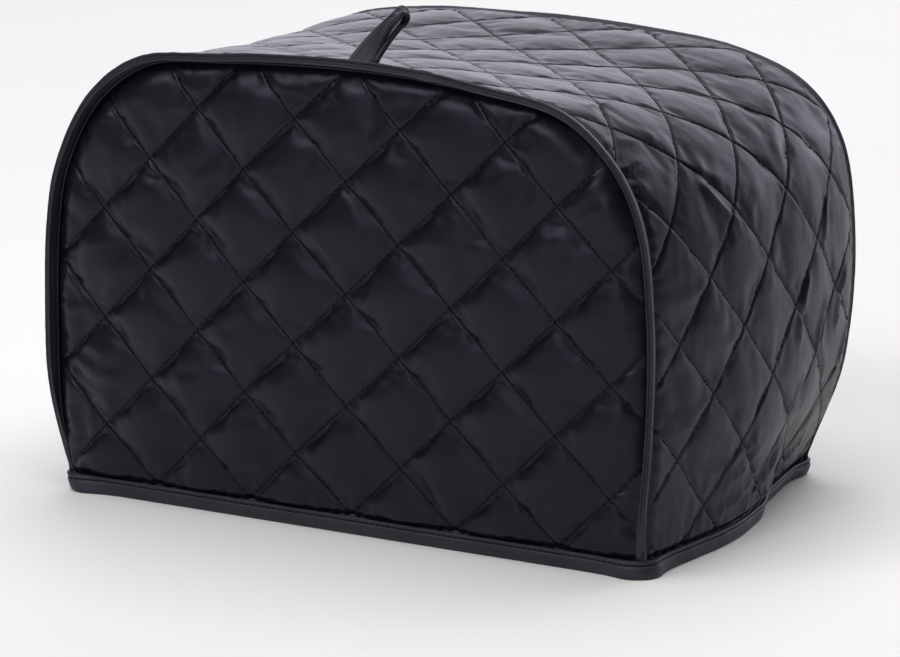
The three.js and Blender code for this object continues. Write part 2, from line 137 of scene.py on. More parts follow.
# Gusset: along the strip from the left foot, and depth from the front
GUSSET_CREASES = (
    ((452, 47), (471, 66), 1.3, 0.9), ((494, 10), (491, 40), 1.8, 0.7), ((507, 35), (508, 51), 2.4, 0.5),
    ((515, 38), (515, 62), 2.2, 0.5), ((549, 9), (544, 32), 1.4, 0.6), ((543, 12), (539, 38), 1.3, 0.7),
    ((568, 39), (561, 78), 1.5, 0.9), ((577, 57), (563, 85), 1.3, 0.9), ((592, 52), (573, 87), 1.4, 1.0),
    ((594, 73), (571, 112), 1.5, 1.0), ((594, 94), (583, 157), 1.5, 1.0),
    ((590, 84), (572, 126), 1.2, -0.6), ((503, 123), (528, 113), 1.8, 0.9),
    ((516, 142), (537, 134), 1.8, 0.9), ((508, 168), (531, 157), 1.6, 0.9),
    ((532, 176), (553, 166), 1.5, 1.0), ((460, 88), (474, 75), 1.6, 0.7),
    ((426, 150), (451, 113), 3.0, 0.6), ((441, 55), (456, 51), 2.6, 0.7), ((425, 16), (427, 39), 1.8, 0.6),
    ((436, 4), (436, 20), 1.0, 0.8), ((440, 3), (441, 15), 0.8, -0.6), ((444, 2), (446, 14), 0.9, 0.8),
    ((545, 120), (560, 108), 1.6, 0.8), ((472, 150), (498, 140), 1.8, 0.7),
    ((486, 96), (502, 88), 1.9, 0.5), ((402, 24), (398, 60), 1.6, 0.4),
)


# Small helpers for arrays of points


def lerp(a, b, share):
    return a + (b - a) * share


def smoothstep(low, high, value):
    share = np.clip((value - low) / (high - low), 0, 1)
    return share * share * (3 - 2 * share)


def bell(distance, spread):
    return np.exp(-((distance / spread) ** 2))


def noise(u, v, seed):
    """Smooth noise from -1 to 1 with one feature in each unit square, the same in each run."""
    size = 64
    table = np.random.default_rng(seed).uniform(-1, 1, (size, size))
    u, v = np.broadcast_arrays(np.asarray(u, float), np.asarray(v, float))
    i, j = np.floor(u).astype(int), np.floor(v).astype(int)
    s, t = smoothstep(0, 1, u - i), smoothstep(0, 1, v - j)
    low = lerp(table[i % size, j % size], table[(i + 1) % size, j % size], s)
    high = lerp(table[i % size, (j + 1) % size], table[(i + 1) % size, (j + 1) % size], s)
    return lerp(low, high, t)


def curve_through(points, steps=60):
    """A dense line through a few points, on a centripetal Catmull-Rom curve."""
    points = np.asarray(points, float)
    line = []
    for k in range(len(points) - 1):
        start, end = points[k], points[k + 1]
        before = points[k - 1] if k else 2 * start - end
        after = points[k + 2] if k + 2 < len(points) else 2 * end - start
        spans = ((before, start), (start, end), (end, after))
        t0, t1, t2 = (math.sqrt(np.linalg.norm(q - p)) for p, q in spans)
        leave = ((start - before) / t0 - (end - before) / (t0 + t1) + (end - start) / t1) * t1
        arrive = ((end - start) / t1 - (after - start) / (t1 + t2) + (after - end) / t2) * t1
        s = np.linspace(0, 1, steps, endpoint=False)[:, None]
        line.append(start + leave * s + (3 * (end - start) - 2 * leave - arrive) * s**2
                    + (2 * (start - end) + leave + arrive) * s**3)
    return np.vstack([*line, points[-1:]])


def lengths_along(line):
    return np.concatenate([[0], np.cumsum(np.linalg.norm(np.diff(line, axis=0), axis=1))])


class Seam:
    """The corner where an end panel meets the gusset, from the left foot to the right one."""

    def __init__(self, rows):
        self.line = curve_through(rows)
        self.at = lengths_along(self.line)
        self.length = self.at[-1]
        self.slope = np.gradient(self.line, self.at, axis=0)
        self.start = self.way_at_height(-1, CLOTH_FOOT)
        self.end = self.way_at_height(1, CLOTH_FOOT)
        corner = np.stack(self.corner(np.linspace(0, 1, 400))[:2], 1)
        self.cloth = lengths_along(corner)[-1]

    def way_at_height(self, side, z):
        half = len(self.line) // 4
        if side < 0:
            return np.interp(z, self.line[:half, 1], self.at[:half])
        return np.interp(z, self.line[::-1][:half, 1], self.at[::-1][:half])

    def corner(self, share):
        """Across and up of the corner line, and its outward normal, at a share of the way."""
        along = lerp(self.start, self.end, np.asarray(share, float))
        point = [np.interp(along, self.at, self.line[:, k]) for k in (0, 1)]
        slope = [np.interp(along, self.at, self.slope[:, k]) for k in (0, 1)]
        own = smoothstep(0, SETTLE, np.minimum(along - self.start, self.end - along))
        level = np.where(along < self.length / 2, -1.0, 1.0)
        normal = np.array([lerp(level, -slope[1], own), slope[0] * own])
        normal /= np.linalg.norm(normal, axis=0)
        return point[0] - normal[0] * SEAM_REACH, point[1] - normal[1] * SEAM_REACH, normal[0], normal[1]

    def foot(self, side, z):
        """Across, of the corner line at a height below the cloth's foot."""
        return np.interp(self.way_at_height(side, z), self.at, self.line[:, 0]) - side * SEAM_REACH


front_seam = Seam(FRONT_SEAM)
back_seam = Seam(BACK_SEAM)
STRIP = (front_seam.cloth + back_seam.cloth) / 2  # length of the gusset above its feet
# The frame's origin is under the middle of the whole cover, a little off the seams' own zero
SHIFT_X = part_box("front_binding")[0][0] / MM - front_seam.line[:, 0].min()


def fold_out(side, depth_share, height):
    """How far the gusset's soft folds move it out, at a place on one of its sides."""
    out = np.zeros(np.broadcast(depth_share, height).shape)
    for fold in FOLDS:
        shape = bell(depth_share - fold["depth"], fold["spread"])
        shape = shape * bell(height - fold["height"], fold["reach"])
        out = out + np.where(side == fold["side"], fold["out"] * shape, 0)
    return out


def creased(x, y, creases):
    """Height of the listed creases at places on the flat cloth."""
    height = np.zeros(len(x))
    for (x0, y0), (x1, y1), width, rise in creases:
        long = math.hypot(x1 - x0, y1 - y0)
        run = ((x - x0) * (x1 - x0) + (y - y0) * (y1 - y0)) / long
        off = ((x - x0) * (y0 - y1) + (y - y0) * (x1 - x0)) / long
        bow = 0.06 * long * np.sin(np.pi * np.clip(run / long, 0, 1))
        ends = smoothstep(-3, 2.5, run) * smoothstep(-3, 2.5, long - run)
        height += rise * ends * bell(off + bow, width)
    return height


def gusset_place(along, depth, lift, _distance=None):
    """Where a point of the flat gusset comes to lie once the strip is sewn in."""
    share = np.clip(along / STRIP, 0, 1)
    below = np.minimum(along, 0) + np.minimum(STRIP - along, 0)
    depth_share = depth / DEPTH
    ends = [np.array(seam.corner(share)) for seam in (front_seam, back_seam)]
    x, z, normal_x, normal_z = lerp(ends[0], ends[1], depth_share)
    long = np.hypot(normal_x, normal_z)
    normal_x, normal_z = normal_x / long, normal_z / long
    foot = np.minimum(share, 1 - share) * STRIP
    side = np.where(share < 0.5, -1, 1)
    bulge = 1 - (2 * np.clip(depth_share, 0, 1) ** 1.2 - 1) ** 2
    crown = SIDE_CROWN * normal_x**2 * smoothstep(0, 60, foot) * bulge
    sag = TOP_SAG * normal_z**2 * np.sin(np.pi * np.clip(depth_share, 0, 1))
    folds = fold_out(side, depth_share, foot) * np.abs(normal_x)
    # Towards the back seam the top swells nearly to the seam's own edge; a little at the front too
    swell = BACK_SWELL * smoothstep(120, 170, depth) * smoothstep(0, 30, foot)
    front_swell = FRONT_SWELL * smoothstep(3.4, 9, depth) * (1 - smoothstep(20, 90, depth))
    out = crown - sag + folds + swell + front_swell + lift
    # Below its foot, inside the hem tape, the cloth goes on straight down and a little in
    foot_lean = side * -0.35 * below
    return np.stack([x + normal_x * out - foot_lean, depth - DEPTH / 2, z + normal_z * out + below], -1)


# Quilting

QUILT_STEPS = 18  # quads along each side of a diamond, closer together near its stitching
GROOVE_DEPTH, GROOVE_HALF_WIDTH = 0.7, 0.6
DRIFT_AT, DRIFT_SPREAD = -31, 42  # across, the middle and the half width of the rows that drift


class Quilt:
    """Diamond quilting on flat cloth. A line of stitching runs where a or b is a whole number.

    half is half a diamond's width and height, and origin is a crossing. fullness is the rise of a
    filled diamond, and shift moves its highest place towards lower b. slack and pressure are for
    the cloth simulation. tuck is how far the cloth is drawn under beyond the lines of whole b,
    streaks the height of fine ridges, drift the error of some rows, and crease strengthens the
    listed creases."""

    def __init__(self, half, origin, seed, *, fullness, slack, pressure, shift=0.0, tuck=0.0, streaks=0.0,
                 drift=0.0, crease=1.0):
        self.half, self.origin, self.seed = half, origin, seed
        self.side = math.hypot(*half)
        self.fullness, self.slack, self.pressure = fullness, slack, pressure
        self.shift, self.tuck, self.streaks = shift, tuck, streaks
        self.drift, self.crease = drift, crease

    def drifted(self, x):
        """Some rows left of the middle were sewn off their line."""
        return x + self.drift * bell(x - DRIFT_AT, DRIFT_SPREAD)

    def flat(self, a, b):
        return self.drifted(self.origin[0] + (a + b) * self.half[0]), self.origin[1] + (a - b) * self.half[1]

    def lines(self, x, y):
        plain = x
        for _ in range(4):
            plain = x - (self.drifted(plain) - plain)
        i, j = (plain - self.origin[0]) / self.half[0], (y - self.origin[1]) / self.half[1]
        return (i + j) / 2, (i - j) / 2

    def span(self, outline):
        """The lowest and highest a, and b, within the box of a cut edge."""
        low, high = outline.min(0), outline.max(0)
        corners = np.array([(x, y) for x in (low[0], high[0]) for y in (low[1], high[1])])
        a, b = self.lines(*corners.T)
        return (a.min(), a.max()), (b.min(), b.max())

    def height(self, x, y):
        """Height of the cloth's outer face above its stitching, and the strength of the painted shade beside
        it.
        """
        a, b = self.lines(x, y)
        cell_a, cell_b = np.floor(a), np.floor(b)
        in_a, in_b = a - cell_a, b - cell_b
        lean = 0.07 * noise(cell_a * 1.7 + 0.5, cell_b * 1.3 + 0.5, self.seed)
        in_a = in_a + lean * np.sin(np.pi * in_a)
        in_b = in_b + self.shift * np.sin(np.pi * in_b)
        fill = 1 + 0.16 * noise(cell_a * 1.31 + 0.5, cell_b * 1.73 + 0.5, self.seed + 1)
        dome = (np.sin(np.pi * in_a) * np.sin(np.pi * in_b)).clip(0)
        rise = 0.5 * dome**0.4 + 0.5 * dome
        near_a, near_b = np.abs(a - np.round(a)) * self.side, np.abs(b - np.round(b)) * self.side
        height = self.fullness * fill * rise
        height += self.puckers(b, np.round(a), near_a, 3) + self.puckers(a, np.round(b), near_b, 5)
        soft = noise(x / 11, y / 15, self.seed + 7) * 0.14 + noise(x / 5.2, y / 6.1, self.seed + 8) * 0.06
        soft = soft * self.fullness
        waver = 0.8 * noise(x / 23, y / 19, self.seed + 9)
        streak = 1 - 2 * np.abs(noise(x / 31, y / 4.6 + waver, self.seed + 10))
        height += (soft + self.streaks * streak) * rise
        nearest = np.minimum(near_a, near_b)
        beyond = (b - cell_b) * self.side
        # Painted shade, not geometry: strongest on the stitching and, for tucked cloth, in the fold just
        # beyond each line of whole b, where the cloth lies in shade
        shade = np.maximum(np.exp(-nearest / 0.8), min(self.tuck, 1) * np.exp(-beyond / 1.8))
        return height - GROOVE_DEPTH * bell(nearest, GROOVE_HALF_WIDTH), shade

    def tucked(self, a, b):
        """How far the cloth is drawn under, just beyond each line of stitching of one direction."""
        beyond = (b - np.floor(b)) * self.side
        clear_of_crossing = smoothstep(0, 0.17, np.abs(a - np.round(a)))
        return self.tuck * bell(beyond - 0.9, 1.5) * smoothstep(0, 0.7, beyond) * clear_of_crossing

    def puckers(self, along, line, distance, seed):
        """Short wrinkles across a line of stitching, where the thread gathers the cloth."""
        run = along * self.side
        phase = run / 5.4 + 1.1 * noise(run / 13, line * 0.37, self.seed + seed)
        strength = 0.5 + 0.5 * noise(run / 17, line * 0.71 + 3, self.seed + seed + 1)
        fading = np.exp(-distance / 3.6) * smoothstep(0, 1.4, distance)
        return 0.07 * self.fullness * strength * np.cos(2 * np.pi * phase) * fading


def hull_sides(outline):
    """The start and the outward normal of each side of a cut edge that bulges everywhere."""
    hull = [outline[k] for k in geometry.convex_hull_2d([Vector(p) for p in outline])]
    middle = outline.mean(0)
    for k, here in enumerate(hull):
        there = hull[(k + 1) % len(hull)]
        out = np.array([there[1] - here[1], here[0] - there[0]])
        yield here, (-out if out @ (middle - here) > 0 else out)


def quilted_grid(quilt, outline, bands):
    """A flat mesh of the diamonds inside a cut edge, its own edges on the stitching and the bands."""
    low = outline.min(0) - quilt.half
    high = outline.max(0) + quilt.half
    (low_a, high_a), (low_b, high_b) = quilt.span(outline)
    even = np.arange(QUILT_STEPS) / QUILT_STEPS
    steps = even - 0.6 * np.sin(2 * np.pi * even) / (2 * np.pi)
    first_a, first_b = math.floor(low_a), math.floor(low_b)
    count_a, count_b = math.ceil(high_a) - first_a, math.ceil(high_b) - first_b
    a = np.concatenate([(first_a + np.arange(count_a)[:, None] + steps).ravel(), [first_a + count_a]])
    b = np.concatenate([(first_b + np.arange(count_b)[:, None] + steps).ravel(), [first_b + count_b]])
    names = np.arange(len(a) * len(b)).reshape(len(a), len(b))
    faces = []
    for k in range(count_a):
        for m in range(count_b):
            x, y = quilt.flat(first_a + k + 0.5, first_b + m + 0.5)
            if low[0] < x < high[0] and low[1] < y < high[1]:
                row, column = k * QUILT_STEPS, m * QUILT_STEPS
                cell = names[row:row + QUILT_STEPS + 1, column:column + QUILT_STEPS + 1]
                quads = np.stack([cell[:-1, :-1], cell[:-1, 1:], cell[1:, 1:], cell[1:, :-1]], -1)
                faces.append(quads.reshape(-1, 4))
    used, faces = np.unique(np.vstack(faces), return_inverse=True)
    x, y = quilt.flat(a[used // len(b)], b[used % len(b)])
    return cut_to(outline, np.stack([x, y], 1), faces.reshape(-1, 4), bands)


def cut_to(outline, places, faces, bands):
    """Cuts a flat mesh along a cut edge that bulges everywhere; returns its places and faces.

    It is also creased along bands, which are straight lines at one value of an axis."""
    mesh = bpy.data.meshes.new("cutting")
    mesh.from_pydata([(x, y, 0) for x, y in places], [], faces.tolist())
    work = bmesh.new()
    work.from_mesh(mesh)
    bpy.data.meshes.remove(mesh)
    for here, out in hull_sides(outline):
        geom = work.verts[:] + work.edges[:] + work.faces[:]
        bmesh.ops.bisect_plane(
            work, geom=geom, dist=1e-4, plane_co=(*here, 0), plane_no=(*out, 0), clear_outer=True)
    for axis, value in bands:
        square = Vector((1 - axis, axis, 0))
        geom = work.verts[:] + work.edges[:] + work.faces[:]
        bmesh.ops.bisect_plane(work, geom=geom, dist=0.12, plane_co=square * value, plane_no=square)
    work.verts.index_update()
    places = np.array([vert.co[:2] for vert in work.verts])
    faces = [[vert.index for vert in face.verts] for face in work.faces]
    work.free()
    return places, faces


def distance_inside(outline, places):
    """Distance of each place from the nearest cut edge, and how far round the edge that is."""
    starts, ends = outline, np.roll(outline, -1, axis=0)
    spans = ends - starts
    before = np.concatenate([[0], np.cumsum(np.linalg.norm(spans, axis=1))])
    nearest = np.full(len(places), np.inf)
    way = np.zeros(len(places))
    for k, (start, span) in enumerate(zip(starts, spans)):
        share = np.clip((places - start) @ span / (span @ span), 0, 1)
        gap = np.linalg.norm(places - start - share[:, None] * span, axis=1)
        closer = gap < nearest
        nearest[closer] = gap[closer]
        way[closer] = (before[k] + share * math.sqrt(span @ span))[closer]
    return nearest, way


def seam_puckers(distance, way, seed):
    """Gathers square to a seam, strongest just beside it."""
    phase = way / 6.2 + 1.2 * noise(way / 19, 0.5, seed)
    strength = 0.55 + 0.45 * noise(way / 23, 2.5, seed + 1)
    return 0.75 * strength * np.cos(2 * np.pi * phase) * np.exp(-distance / 7) * smoothstep(0, 3.5, distance)


def settle(points, faces, held, shrink, pressure, frames=18):
    """Lets the loose cloth between the held points swell and gather, in Blender's Cloth."""
    mesh = bpy.data.meshes.new("settling cloth")
    mesh.from_pydata((points * MM).tolist(), [], faces)
    work = bpy.data.objects.new("settling cloth", mesh)
    bpy.context.collection.objects.link(work)
    work.vertex_groups.new(name="held").add(np.flatnonzero(held).tolist(), 1.0, "REPLACE")
    cloth = work.modifiers.new("cloth", "CLOTH")
    rules = cloth.settings
    rules.vertex_group_mass = "held"
    rules.quality = 5
    rules.mass = 0.15
    rules.tension_stiffness = rules.compression_stiffness = 12
    rules.shear_stiffness = 4
    rules.bending_stiffness = 0.05
    rules.tension_damping = rules.compression_damping = rules.shear_damping = 8
    rules.bending_damping = 0.5
    rules.air_damping = 4
    rules.shrink_min = shrink
    rules.use_pressure = True
    rules.uniform_pressure_force = pressure
    rules.effector_weights.gravity = 0
    cloth.collision_settings.use_collision = False
    cloth.collision_settings.use_self_collision = False
    cloth.point_cache.frame_start, cloth.point_cache.frame_end = 1, frames
    for step in range(1, frames + 1):
        bpy.context.scene.frame_set(step)
    settled = work.evaluated_get(bpy.context.evaluated_depsgraph_get())
    result = np.empty(len(points) * 3, dtype=np.float32)
    settled.data.vertices.foreach_get("co", result)
    bpy.data.objects.remove(work)
    bpy.context.scene.frame_set(1)
    return result.reshape(-1, 3).astype(float) / MM


START_SHARE = 0.85  # the cloth starts to settle from this share of its puffs' rise
HELD = {"beside stitching": 0.3, "beside edges": 1.8}
LOWEST, SPARE = -0.75, 1.4  # it may sink this low, and rise this far past its quilt's fullness


def quilted_sheet(name, quilt, outline, place, seed, bands, sunk_edge, creases=()):
    """One closed sheet of quilted cloth: its raised outer face, its inner face and its cut edge."""
    flat, faces = quilted_grid(quilt, outline, bands)
    x, y = flat.T
    distance, way = distance_inside(outline, flat)
    free = smoothstep(0, PINCH, distance)
    raised, groove_shade = quilt.height(x, y)
    raised = START_SHARE * raised * free + seam_puckers(distance, way, seed)
    creasing = quilt.crease * creased(x, y, creases) * smoothstep(1, 5, distance)
    a, b = quilt.lines(x, y)
    sunk = -INNER_PUFF * np.abs(np.sin(np.pi * a) * np.sin(np.pi * b)) * free
    outer = place(x, y, raised, distance)
    base = place(x, y, 0 * raised, distance)
    up = place(x, y, 0 * raised + 1, distance) - base
    off_line = np.minimum(np.abs(a - np.round(a)), np.abs(b - np.round(b))) * quilt.side
    held = (off_line < HELD["beside stitching"]) | (distance < HELD["beside edges"])
    outer = settle(outer, faces, held, -quilt.slack, quilt.pressure)
    # Held to the room that the cloth has between its stitching and its full rise
    rise = np.sum((outer - base) * up, axis=1)
    outer += up * (np.clip(rise, LOWEST, quilt.fullness + SPARE) - rise)[:, None]
    creasing = creasing * (1 - 0.8 * groove_shade) - quilt.tucked(a, b) * free
    outer += up * (creasing - sunk_edge(x, y))[:, None]
    inner = place(x, y, sunk - SHEET, distance)
    count = len(flat)
    edges = set()
    for face in faces:
        for p, q in zip(face, face[1:] + face[:1]):
            if (q, p) in edges:
                edges.remove((q, p))
            else:
                edges.add((p, q))
    rim = [[q, p, p + count, q + count] for p, q in sorted(edges)]
    lining = [[v + count for v in reversed(face)] for face in faces]
    piece = mesh_piece(name, np.vstack([outer, inner]), faces + lining + rim)
    # The painted shade beside the stitching goes on both faces, as an attribute that darkens the material
    mark_cloth(piece, np.vstack([flat, flat]), np.concatenate([groove_shade, groove_shade]))
    return piece


def mark_cloth(piece, flat, groove_shade):
    """The flat place of each point as the UV map, and the strength of the painted shade beside the stitching.
    """
    mesh = piece.data
    corner = np.empty(len(mesh.loops), dtype=np.int32)
    mesh.loops.foreach_get("vertex_index", corner)
    mesh.uv_layers.new(name="flat").data.foreach_set("uv", (flat[corner] * MM).ravel())
    mesh.attributes.new("groove_shade", "FLOAT", "POINT").data.foreach_set("value", groove_shade)


def mesh_piece(name, points, faces):
    mesh = bpy.data.meshes.new(name)
    points = np.asarray(points, float) + np.array([SHIFT_X, 0, 0])
    mesh.from_pydata((points * MM).tolist(), [], faces)
    mesh.validate()
    mesh.shade_smooth()
    piece = bpy.data.objects.new(name, mesh)
    bpy.context.collection.objects.link(piece)
    return piece


HEM_BANDS = (-2.2, -1.2, -0.4, 0.4, 1.2, 2.2)  # edges this far above the cloth's foot
SEAM_BANDS = (2.6, 3.6, 4.6, 5.8, 7, 8.5)  # and this far behind the front seam


def hem_dip(rise):
    """How far the cloth lies in, beside the hem tape, at a height above its foot."""
    return HEM_DIP * (1 - smoothstep(-0.8, 1.4, rise))


def panel_outline(seam, mirror):
    """The cut edge of an end panel on the flat cloth, tucked into the seams and the hem."""
    x, z, normal_x, normal_z = seam.corner(np.linspace(0, 1, SEAM_OUTLINE_STEPS + 1))
    outline = np.stack([x - normal_x * TUCK, z - normal_z * TUCK], 1)
    feet = [(seam.foot(side, CLOTH_FOOT - HEM_TUCK) - side * TUCK, CLOTH_FOOT - HEM_TUCK) for side in (1, -1)]
    return np.vstack([outline, feet]) * (mirror, 1)


def panel_edge(_x, z):
    """How far an end panel is sunk beside the hem."""
    return hem_dip(z - CLOTH_FOOT)


def gusset_edge(along, depth):
    """How far the gusset is sunk beside the hem and the front seam."""
    return hem_dip(np.minimum(along, STRIP - along)) + VALLEY * bell(depth - 3.4, 1.4)


def panel_place(facing):
    """Where a point of a flat end panel comes to lie, by its distance from the cut edge."""
    def place(x, z, height, distance):
        crown = PANEL_CROWN * (1 - (1 - np.minimum(distance / CROWN_RUN, 1)) ** 2)
        full = np.where(x < 0, smoothstep(10, 46, z), smoothstep(6, 22, z))
        dip = SEAM_DIP * (1 - np.minimum(distance / SEAM_DIP_RUN, 1)) ** 2 * lerp(0.3, 1, full)
        return np.stack([-facing * x, facing * (DEPTH / 2 + crown + height - dip), z], -1)
    return place


def end_panel(name, seam, quilt, facing, seed, creases=()):
    outline = panel_outline(seam, -facing)
    bands = [(1, CLOTH_FOOT + rise) for rise in HEM_BANDS]
    cloth = quilted_sheet(name, quilt, outline, panel_place(facing), seed, bands, panel_edge, creases)
    return cloth, outline


def gusset():
    ends, edges = (-HEM_TUCK, STRIP + HEM_TUCK), (TUCK, DEPTH - TUCK)
    outline = np.array([(ends[0], edges[0]), (ends[1], edges[0]), (ends[1], edges[1]), (ends[0], edges[1])])
    quilt = Quilt((24, 22.8), (STRIP - 133.2, 20), 40, fullness=0.62, slack=0.005, pressure=0.15,
                  streaks=0.15, crease=1.35)
    bands = [(0, rise) for rise in HEM_BANDS] + [(0, STRIP - rise) for rise in HEM_BANDS]
    bands += [(1, depth) for depth in SEAM_BANDS] + [(1, DEPTH - depth) for depth in SEAM_BANDS]
    cloth = quilted_sheet(
        "gusset_cloth", quilt, outline, gusset_place, 60, bands, gusset_edge, GUSSET_CREASES)
    return cloth, outline, quilt


# Tapes


def sweep(name, sections, closed, flat=None):
    """Skins a row of like closed sections. A closed row joins its last section to its first."""
    rows, size = sections.shape[:2]
    names = np.arange(rows * size).reshape(rows, size)
    following = np.roll(names, -1, axis=0) if closed else names[1:]
    here = names if closed else names[:-1]
    faces = np.stack([here, np.roll(here, -1, axis=1), np.roll(following, -1, axis=1), following], -1)
    faces = faces.reshape(-1, 4).tolist()
    if not closed:
        faces += [names[0][::-1].tolist(), names[-1].tolist()]
    piece = mesh_piece(name, sections.reshape(-1, 3), faces)
    make_outward(piece)
    if flat is not None:
        mark_cloth(piece, flat.reshape(-1, 2), np.zeros(rows * size))
    return piece


def make_outward(piece):
    work = bmesh.new()
    work.from_mesh(piece.data)
    bmesh.ops.recalc_face_normals(work, faces=work.faces[:])
    work.to_mesh(piece.data)
    work.free()


SECTION_STEPS = 3  # points of a tape's section for each given one


def smooth_section(rows, steps=SECTION_STEPS):
    """A closed section through given points."""
    line = curve_through([rows[-1], *rows, rows[0], rows[1]], steps)
    return line[steps:-steps - 1]


def tape_flat(way, section):
    """The flat place of each point of a tape: along it, and round its section."""
    return np.stack(np.broadcast_arrays(way[:, None], lengths_along(section)[None]), -1)


# Section of a bound seam: forward along the fin that it makes, and across it, outwards. The folded
# tape ends in two narrow ridges with a hollow between them.
FIN_ROWS = (
    (0.0, 1.1), (2.0, 1.1), (3.4, 1.35), (4.8, 1.5), (6.0, 1.65), (6.7, 1.65), (6.95, 1.3), (6.7, 0.85),
    (6.0, 0.4), (5.8, -0.2), (6.1, -0.75), (6.7, -1.1), (6.85, -1.45), (6.6, -1.75), (6.0, -1.75),
    (4.8, -1.55), (3.4, -1.35), (2.0, -1.1), (0.0, -1.1),
)
FIN_TURN = 74  # degrees of the fin's lean from straight outwards, so that it stands mostly forward
FIN_ROOT = (0.05, -3.3)  # its root, out and forward from the cloth's corner
FIN_STATIONS = 520
TAPE_JOIN = {"way": 0.565, "run": 0.012, "thick": 0.45}  # where the front tape's ends overlap
TOP_STARTS, TOP_ENDS = (0.2, 0.34), (0.62, 0.74)  # the shares of a seam where it turns over the top


def seam_binding(name, seam, facing, seed, feet, slim, join=None):
    """The folded tape of a bound seam. slim is its size at the sides and over the top, and feet is
    its form at the left and the right foot."""
    share = np.linspace(0, 1, FIN_STATIONS)
    way = share * seam.cloth
    x, z, normal_x, normal_z = (v[:, None] for v in seam.corner(share))
    section = smooth_section(FIN_ROWS)
    along, across = section[:, 0][None], section[:, 1][None]
    fatness = 1 + 0.07 * noise(way / 16, 0.5, seed) + 0.04 * noise(way / 4.5, 0.5, seed + 1)
    if join:
        step = smoothstep(0, 0.002, share - join["way"])
        step = step * smoothstep(0, 0.004, join["way"] + join["run"] - share)
        fatness = fatness + join["thick"] / 2.3 * step
    ripple = 0.1 * noise(way[:, None] / 2.6, across * 0.9, seed + 2) * smoothstep(0, 3, along)
    tilt = np.radians(6) * noise(way / 38, 0.5, seed + 3)[:, None]
    # Near its feet the fin gets lower and wider, and goes in behind the hem tape
    foot = np.minimum(share, 1 - share)[:, None] * seam.cloth
    lowest, run, widest = (np.where(share < 0.5, left, right)[:, None] for left, right in zip(*feet))
    standing = lerp(lowest, 1.0, smoothstep(0, 1, foot / run))
    spread = lerp(widest, 1.0, smoothstep(0, 26, foot))
    reach = along + 0.25 * noise(way / 27, 3.5, seed + 4)[:, None] * smoothstep(0, 5, along)
    over_top = smoothstep(*TOP_STARTS, share) * (1 - smoothstep(*TOP_ENDS, share))
    slim = lerp(slim[0], slim[1], over_top)[:, None]
    reach = np.where(reach > 0, reach * standing, reach) * slim
    width = (across * fatness[:, None] + ripple) * spread * slim
    turned_along = reach * np.cos(tilt) - width * np.sin(tilt)
    turned_across = reach * np.sin(tilt) + width * np.cos(tilt)
    lean = math.radians(FIN_TURN)
    root = FIN_ROOT[0] + 2 * (1 - slim) * standing  # a slimmer fin stands further out
    out = root + turned_along * math.cos(lean) + turned_across * math.sin(lean)
    forward = FIN_ROOT[1] + turned_along * math.sin(lean) - turned_across * math.cos(lean)
    sections = np.stack([x + normal_x * out, facing * (DEPTH / 2 + forward) + 0 * x, z + normal_z * out], -1)
    # Its two ends go down into the hem tape
    sections[..., 2] = np.where(foot < 0.01, CLOTH_FOOT - 3, sections[..., 2])
    return sweep(name, sections, closed=False, flat=tape_flat(way, section))


# Section of the hem tape: out from the cloth's outer face, and up from the floor
HEM_ROWS = (
    (-2.9, 0.5), (-2.2, 0.0), (-0.8, 0.0), (0.1, 0.0), (0.75, 0.5), (1.1, 1.5), (1.2, 3.4), (1.1, 5.1),
    (0.55, 5.8), (1.05, 6.6), (0.95, 7.3), (0.4, 7.7), (-0.4, 7.2), (-1.4, 7.2), (-2.2, 8.6), (-2.9, 8.6),
    (-2.9, 7.0), (-3.1, 5.0), (-3.1, 2.0),
)
HEM_STITCH_ROW = 8  # the row of the section that its stitches lie in
HEM_CORNERS = (
    {"seam": "front", "side": -1, "radius": 4, "flare": 3.6},
    {"seam": "front", "side": 1, "radius": 9, "flare": 3},
    {"seam": "back", "side": 1, "radius": 3, "flare": 3.4},
    {"seam": "back", "side": -1, "radius": 4, "flare": 3.4},
)
HEM_STATIONS = {"run": 180, "side": 130, "turn": 14}


def hem_line(z):
    """The hem in plan at one height, from the front left corner, and its flare at each place.

    The flare is widest in the middle of a corner and runs out along the hem on both sides."""
    corners = []
    for corner in HEM_CORNERS:
        ahead = -1 if corner["seam"] == "front" else 1
        x = (front_seam if corner["seam"] == "front" else back_seam).foot(corner["side"], z)
        corners.append((x - corner["side"] * corner["radius"], ahead * (DEPTH / 2 - corner["radius"])))
    line, middles = [], []
    for k, corner in enumerate(HEM_CORNERS):
        following = HEM_CORNERS[(k + 1) % 4]
        here, there = np.array(corners[k]), np.array(corners[(k + 1) % 4])
        leaving = math.pi * (k / 2 - 0.5)
        turn = np.arange(HEM_STATIONS["turn"]) / HEM_STATIONS["turn"]
        angle = leaving + math.pi / 2 * (turn - 1)
        middles.append(sum(map(len, line)) + HEM_STATIONS["turn"] // 2)
        arc = here + corner["radius"] * np.stack([np.cos(angle), np.sin(angle)], 1)
        # The side's folds run out round its corners
        beside = smoothstep(0, 1, turn if k % 2 else 1 - turn)
        arc[:, 0] += beside * corner["side"] * fold_out(corner["side"], here[1] / DEPTH + 0.5, 0.0)
        line.append(arc)
        steps = HEM_STATIONS["run" if k % 2 == 0 else "side"]
        share = (np.arange(steps) / steps)[:, None]
        reach = lerp(corner["radius"], following["radius"], share)
        run = lerp(here, there, share) + reach * (math.cos(leaving), math.sin(leaving))
        side = (0, 1, 0, -1)[k]
        if side:
            run[:, 0] += side * fold_out(side, (run[:, 1] + DEPTH / 2) / DEPTH, 0.0)
        line.append(run)
    line = np.vstack(line)
    way = lengths_along(line)
    around = way[-1] + np.linalg.norm(line[0] - line[-1])
    flares = np.zeros(len(line))
    for corner, middle in zip(HEM_CORNERS, middles):
        off = np.abs(way - way[middle])
        flares += corner["flare"] * bell(np.minimum(off, around - off), 11)
    return line, flares


